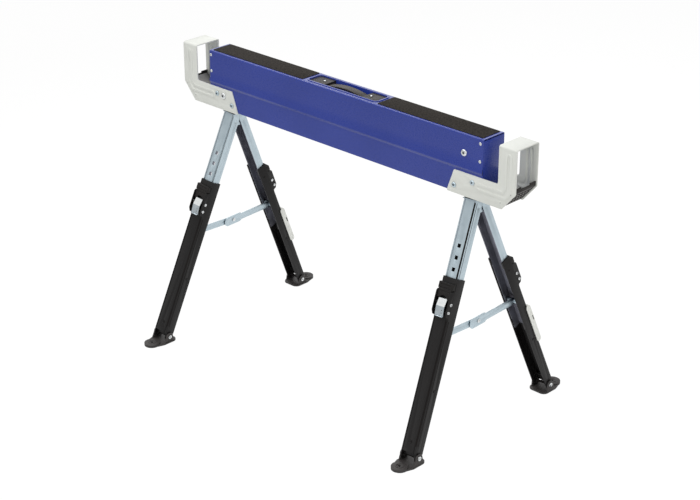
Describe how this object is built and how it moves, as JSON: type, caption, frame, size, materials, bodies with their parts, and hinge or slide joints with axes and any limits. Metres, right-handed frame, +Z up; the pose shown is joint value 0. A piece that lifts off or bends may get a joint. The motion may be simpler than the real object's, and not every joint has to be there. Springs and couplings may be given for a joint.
{
  "type": "folding builders trestle",
  "caption": "Folding steel trestle with a gritted beam, timber brackets at its ends, spreading legs with height latches, folding stays and hinged feet.",
  "frame": {"origin": "on the floor under the middle of the beam", "axes": "+X along the beam, +Y towards the legs with the cord hooks, +Z up"},
  "size_m": [1.086, 0.5968, 0.735],
  "materials": {
    "blue_paint": "satin powder coat",
    "white_paint": "satin powder coat",
    "black_coat": "satin powder coat",
    "zinc_plate": "bright blue zinc plate",
    "bright_zinc": "bright zinc plate",
    "bright_rivet": "bright steel",
    "grit_pad": "gritted anti-slip",
    "black_plastic": "moulded",
    "strap_rubber": "moulded",
    "cream_plastic": "moulded"
  },
  "bodies": {
    "beam_frame": {"beam_shell": "blue_paint", "end_plates": "blue_paint", "end_rivets": "bright_rivet", "grip_pads": "grit_pad", "handle_tray": "blue_paint", "handle_strap": "strap_rubber", "handle_caps": "black_plastic", "handle_screws": "bright_rivet", "bracket_right": "white_paint", "bracket_left": "white_paint", "bracket_insert_right": "black_plastic", "bracket_insert_left": "black_plastic", "bracket_bolts": "zinc_plate", "yoke_right": "zinc_plate", "yoke_left": "zinc_plate", "fold_bolts": "bright_rivet"},
    "upper_leg_front_right": {"upper_leg_front_right": "zinc_plate", "upper_leg_pins_front_right": "bright_rivet"},
    "lower_leg_front_right": {"lower_leg_front_right": "black_coat", "lower_leg_pins_front_right": "bright_rivet", "latch_cover_front_right": "black_plastic"},
    "latch_lever_front_right": {"latch_lever_front_right": "bright_zinc"},
    "latch_plunger_front_right": {"latch_plunger_front_right": "bright_zinc"},
    "foot_front_right": {"foot_front_right": "black_coat"},
    "stay_link_front_right": {"stay_link_front_right": "zinc_plate"},
    "upper_leg_rear_right": {"upper_leg_rear_right": "zinc_plate", "upper_leg_pins_rear_right": "bright_rivet"},
    "lower_leg_rear_right": {"lower_leg_rear_right": "black_coat", "lower_leg_pins_rear_right": "bright_rivet", "latch_cover_rear_right": "black_plastic", "cord_hook_right": "cream_plastic"},
    "latch_lever_rear_right": {"latch_lever_rear_right": "bright_zinc"},
    "latch_plunger_rear_right": {"latch_plunger_rear_right": "bright_zinc"},
    "foot_rear_right": {"foot_rear_right": "black_coat"},
    "stay_link_rear_right": {"stay_link_rear_right": "zinc_plate", "stay_rivet_right": "bright_rivet"},
    "upper_leg_front_left": {"upper_leg_front_left": "zinc_plate", "upper_leg_pins_front_left": "bright_rivet"},
    "lower_leg_front_left": {"lower_leg_front_left": "black_coat", "lower_leg_pins_front_left": "bright_rivet", "latch_cover_front_left": "black_plastic"},
    "latch_lever_front_left": {"latch_lever_front_left": "bright_zinc"},
    "latch_plunger_front_left": {"latch_plunger_front_left": "bright_zinc"},
    "foot_front_left": {"foot_front_left": "black_coat"},
    "stay_link_front_left": {"stay_link_front_left": "zinc_plate"},
    "upper_leg_rear_left": {"upper_leg_rear_left": "zinc_plate", "upper_leg_pins_rear_left": "bright_rivet"},
    "lower_leg_rear_left": {"lower_leg_rear_left": "black_coat", "lower_leg_pins_rear_left": "bright_rivet", "latch_cover_rear_left": "black_plastic", "cord_hook_left": "cream_plastic"},
    "latch_lever_rear_left": {"latch_lever_rear_left": "bright_zinc"},
    "latch_plunger_rear_left": {"latch_plunger_rear_left": "bright_zinc"},
    "foot_rear_left": {"foot_rear_left": "black_coat"},
    "stay_link_rear_left": {"stay_link_rear_left": "zinc_plate", "stay_rivet_left": "bright_rivet"}
  },
  "joints": [
    {"name": "leg_close_front_right", "type": "hinge", "parent": "beam_frame", "child": "upper_leg_front_right", "pos_m": [0.4008, -0.013, 0.553], "axis": [0.9982, 0, 0.0593], "range_deg": [0, 20.9]},
    {"name": "stay_fold_front_right", "type": "hinge", "parent": "upper_leg_front_right", "child": "stay_link_front_right", "pos_m": [0.41735, -0.1309, 0.27437], "axis": [0.9982, 0, 0.0593], "range_deg": [-0.5, 61.42]},
    {"name": "height_slide_front_right", "type": "slide", "parent": "upper_leg_front_right", "child": "lower_leg_front_right", "axis": [0.0546, -0.3891, -0.9196], "range_m": [-0.13811, 0.05524]},
    {"name": "lever_turn_front_right", "type": "hinge", "parent": "lower_leg_front_right", "child": "latch_lever_front_right", "pos_m": [0.41357, -0.12563, 0.33813], "axis": [0.9982, 0, 0.0593], "range_deg": [0, 24.2]},
    {"name": "plunger_pull_front_right", "type": "slide", "parent": "lower_leg_front_right", "child": "latch_plunger_front_right", "axis": [-0.0231, -0.9212, 0.3884], "range_m": [0, 0.0042], "stiffness_N_per_m": 400, "springref_m": -0.004},
    {"name": "foot_swing_front_right", "type": "hinge", "parent": "lower_leg_front_right", "child": "foot_front_right", "pos_m": [0.43258, -0.23939, 0.018], "axis": [0.9982, 0, 0.0593], "range_deg": [-25, 25]},
    {"name": "leg_close_rear_right", "type": "hinge", "parent": "beam_frame", "child": "upper_leg_rear_right", "pos_m": [0.4008, 0.013, 0.553], "axis": [-0.9982, 0, -0.0593], "range_deg": [0, 20.9]},
    {"name": "stay_fold_rear_right", "type": "hinge", "parent": "upper_leg_rear_right", "child": "stay_link_rear_right", "pos_m": [0.41735, 0.1309, 0.27437], "axis": [-0.9982, 0, -0.0593], "range_deg": [-0.5, 61.42]},
    {"name": "height_slide_rear_right", "type": "slide", "parent": "upper_leg_rear_right", "child": "lower_leg_rear_right", "axis": [0.0546, 0.3891, -0.9196], "range_m": [-0.13811, 0.05524]},
    {"name": "lever_turn_rear_right", "type": "hinge", "parent": "lower_leg_rear_right", "child": "latch_lever_rear_right", "pos_m": [0.41357, 0.12563, 0.33813], "axis": [-0.9982, 0, -0.0593], "range_deg": [0, 24.2]},
    {"name": "plunger_pull_rear_right", "type": "slide", "parent": "lower_leg_rear_right", "child": "latch_plunger_rear_right", "axis": [-0.0231, 0.9212, 0.3884], "range_m": [0, 0.0042], "stiffness_N_per_m": 400, "springref_m": -0.004},
    {"name": "foot_swing_rear_right", "type": "hinge", "parent": "lower_leg_rear_right", "child": "foot_rear_right", "pos_m": [0.43258, 0.23939, 0.018], "axis": [-0.9982, 0, -0.0593], "range_deg": [-25, 25]},
    {"name": "leg_close_front_left", "type": "hinge", "parent": "beam_frame", "child": "upper_leg_front_left", "pos_m": [-0.4008, -0.013, 0.553], "axis": [0.9982, 0, -0.0593], "range_deg": [0, 20.9]},
    {"name": "stay_fold_front_left", "type": "hinge", "parent": "upper_leg_front_left", "child": "stay_link_front_left", "pos_m": [-0.41735, -0.1309, 0.27437], "axis": [0.9982, 0, -0.0593], "range_deg": [-0.5, 61.42]},
    {"name": "height_slide_front_left", "type": "slide", "parent": "upper_leg_front_left", "child": "lower_leg_front_left", "axis": [-0.0546, -0.3891, -0.9196], "range_m": [-0.13811, 0.05524]},
    {"name": "lever_turn_front_left", "type": "hinge", "parent": "lower_leg_front_left", "child": "latch_lever_front_left", "pos_m": [-0.41357, -0.12563, 0.33813], "axis": [0.9982, 0, -0.0593], "range_deg": [0, 24.2]},
    {"name": "plunger_pull_front_left", "type": "slide", "parent": "lower_leg_front_left", "child": "latch_plunger_front_left", "axis": [0.0231, -0.9212, 0.3884], "range_m": [0, 0.0042], "stiffness_N_per_m": 400, "springref_m": -0.004},
    {"name": "foot_swing_front_left", "type": "hinge", "parent": "lower_leg_front_left", "child": "foot_front_left", "pos_m": [-0.43258, -0.23939, 0.018], "axis": [0.9982, 0, -0.0593], "range_deg": [-25, 25]},
    {"name": "leg_close_rear_left", "type": "hinge", "parent": "beam_frame", "child": "upper_leg_rear_left", "pos_m": [-0.4008, 0.013, 0.553], "axis": [-0.9982, 0, 0.0593], "range_deg": [0, 20.9]},
    {"name": "stay_fold_rear_left", "type": "hinge", "parent": "upper_leg_rear_left", "child": "stay_link_rear_left", "pos_m": [-0.41735, 0.1309, 0.27437], "axis": [-0.9982, 0, 0.0593], "range_deg": [-0.5, 61.42]},
    {"name": "height_slide_rear_left", "type": "slide", "parent": "upper_leg_rear_left", "child": "lower_leg_rear_left", "axis": [-0.0546, 0.3891, -0.9196], "range_m": [-0.13811, 0.05524]},
    {"name": "lever_turn_rear_left", "type": "hinge", "parent": "lower_leg_rear_left", "child": "latch_lever_rear_left", "pos_m": [-0.41357, 0.12563, 0.33813], "axis": [-0.9982, 0, 0.0593], "range_deg": [0, 24.2]},
    {"name": "plunger_pull_rear_left", "type": "slide", "parent": "lower_leg_rear_left", "child": "latch_plunger_rear_left", "axis": [0.0231, 0.9212, 0.3884], "range_m": [0, 0.0042], "stiffness_N_per_m": 400, "springref_m": -0.004},
    {"name": "foot_swing_rear_left", "type": "hinge", "parent": "lower_leg_rear_left", "child": "foot_rear_left", "pos_m": [-0.43258, 0.23939, 0.018], "axis": [-0.9982, 0, 0.0593], "range_deg": [-25, 25]}
  ],
  "couplings": [
    {"joint": "lever_turn_front_right", "follows": "plunger_pull_front_right", "rad_per_m": 100},
    {"joint": "stay_fold_front_right", "follows": "leg_close_front_right", "ratio": 2.9148},
    {"joint": "lever_turn_rear_right", "follows": "plunger_pull_rear_right", "rad_per_m": 100},
    {"joint": "leg_close_rear_right", "follows": "leg_close_front_right", "ratio": 1},
    {"joint": "stay_fold_rear_right", "follows": "leg_close_front_right", "ratio": 2.9148},
    {"joint": "lever_turn_front_left", "follows": "plunger_pull_front_left", "rad_per_m": 100},
    {"joint": "stay_fold_front_left", "follows": "leg_close_front_left", "ratio": 2.9148},
    {"joint": "lever_turn_rear_left", "follows": "plunger_pull_rear_left", "rad_per_m": 100},
    {"joint": "leg_close_rear_left", "follows": "leg_close_front_left", "ratio": 1},
    {"joint": "stay_fold_rear_left", "follows": "leg_close_front_left", "ratio": 2.9148}
  ]
}
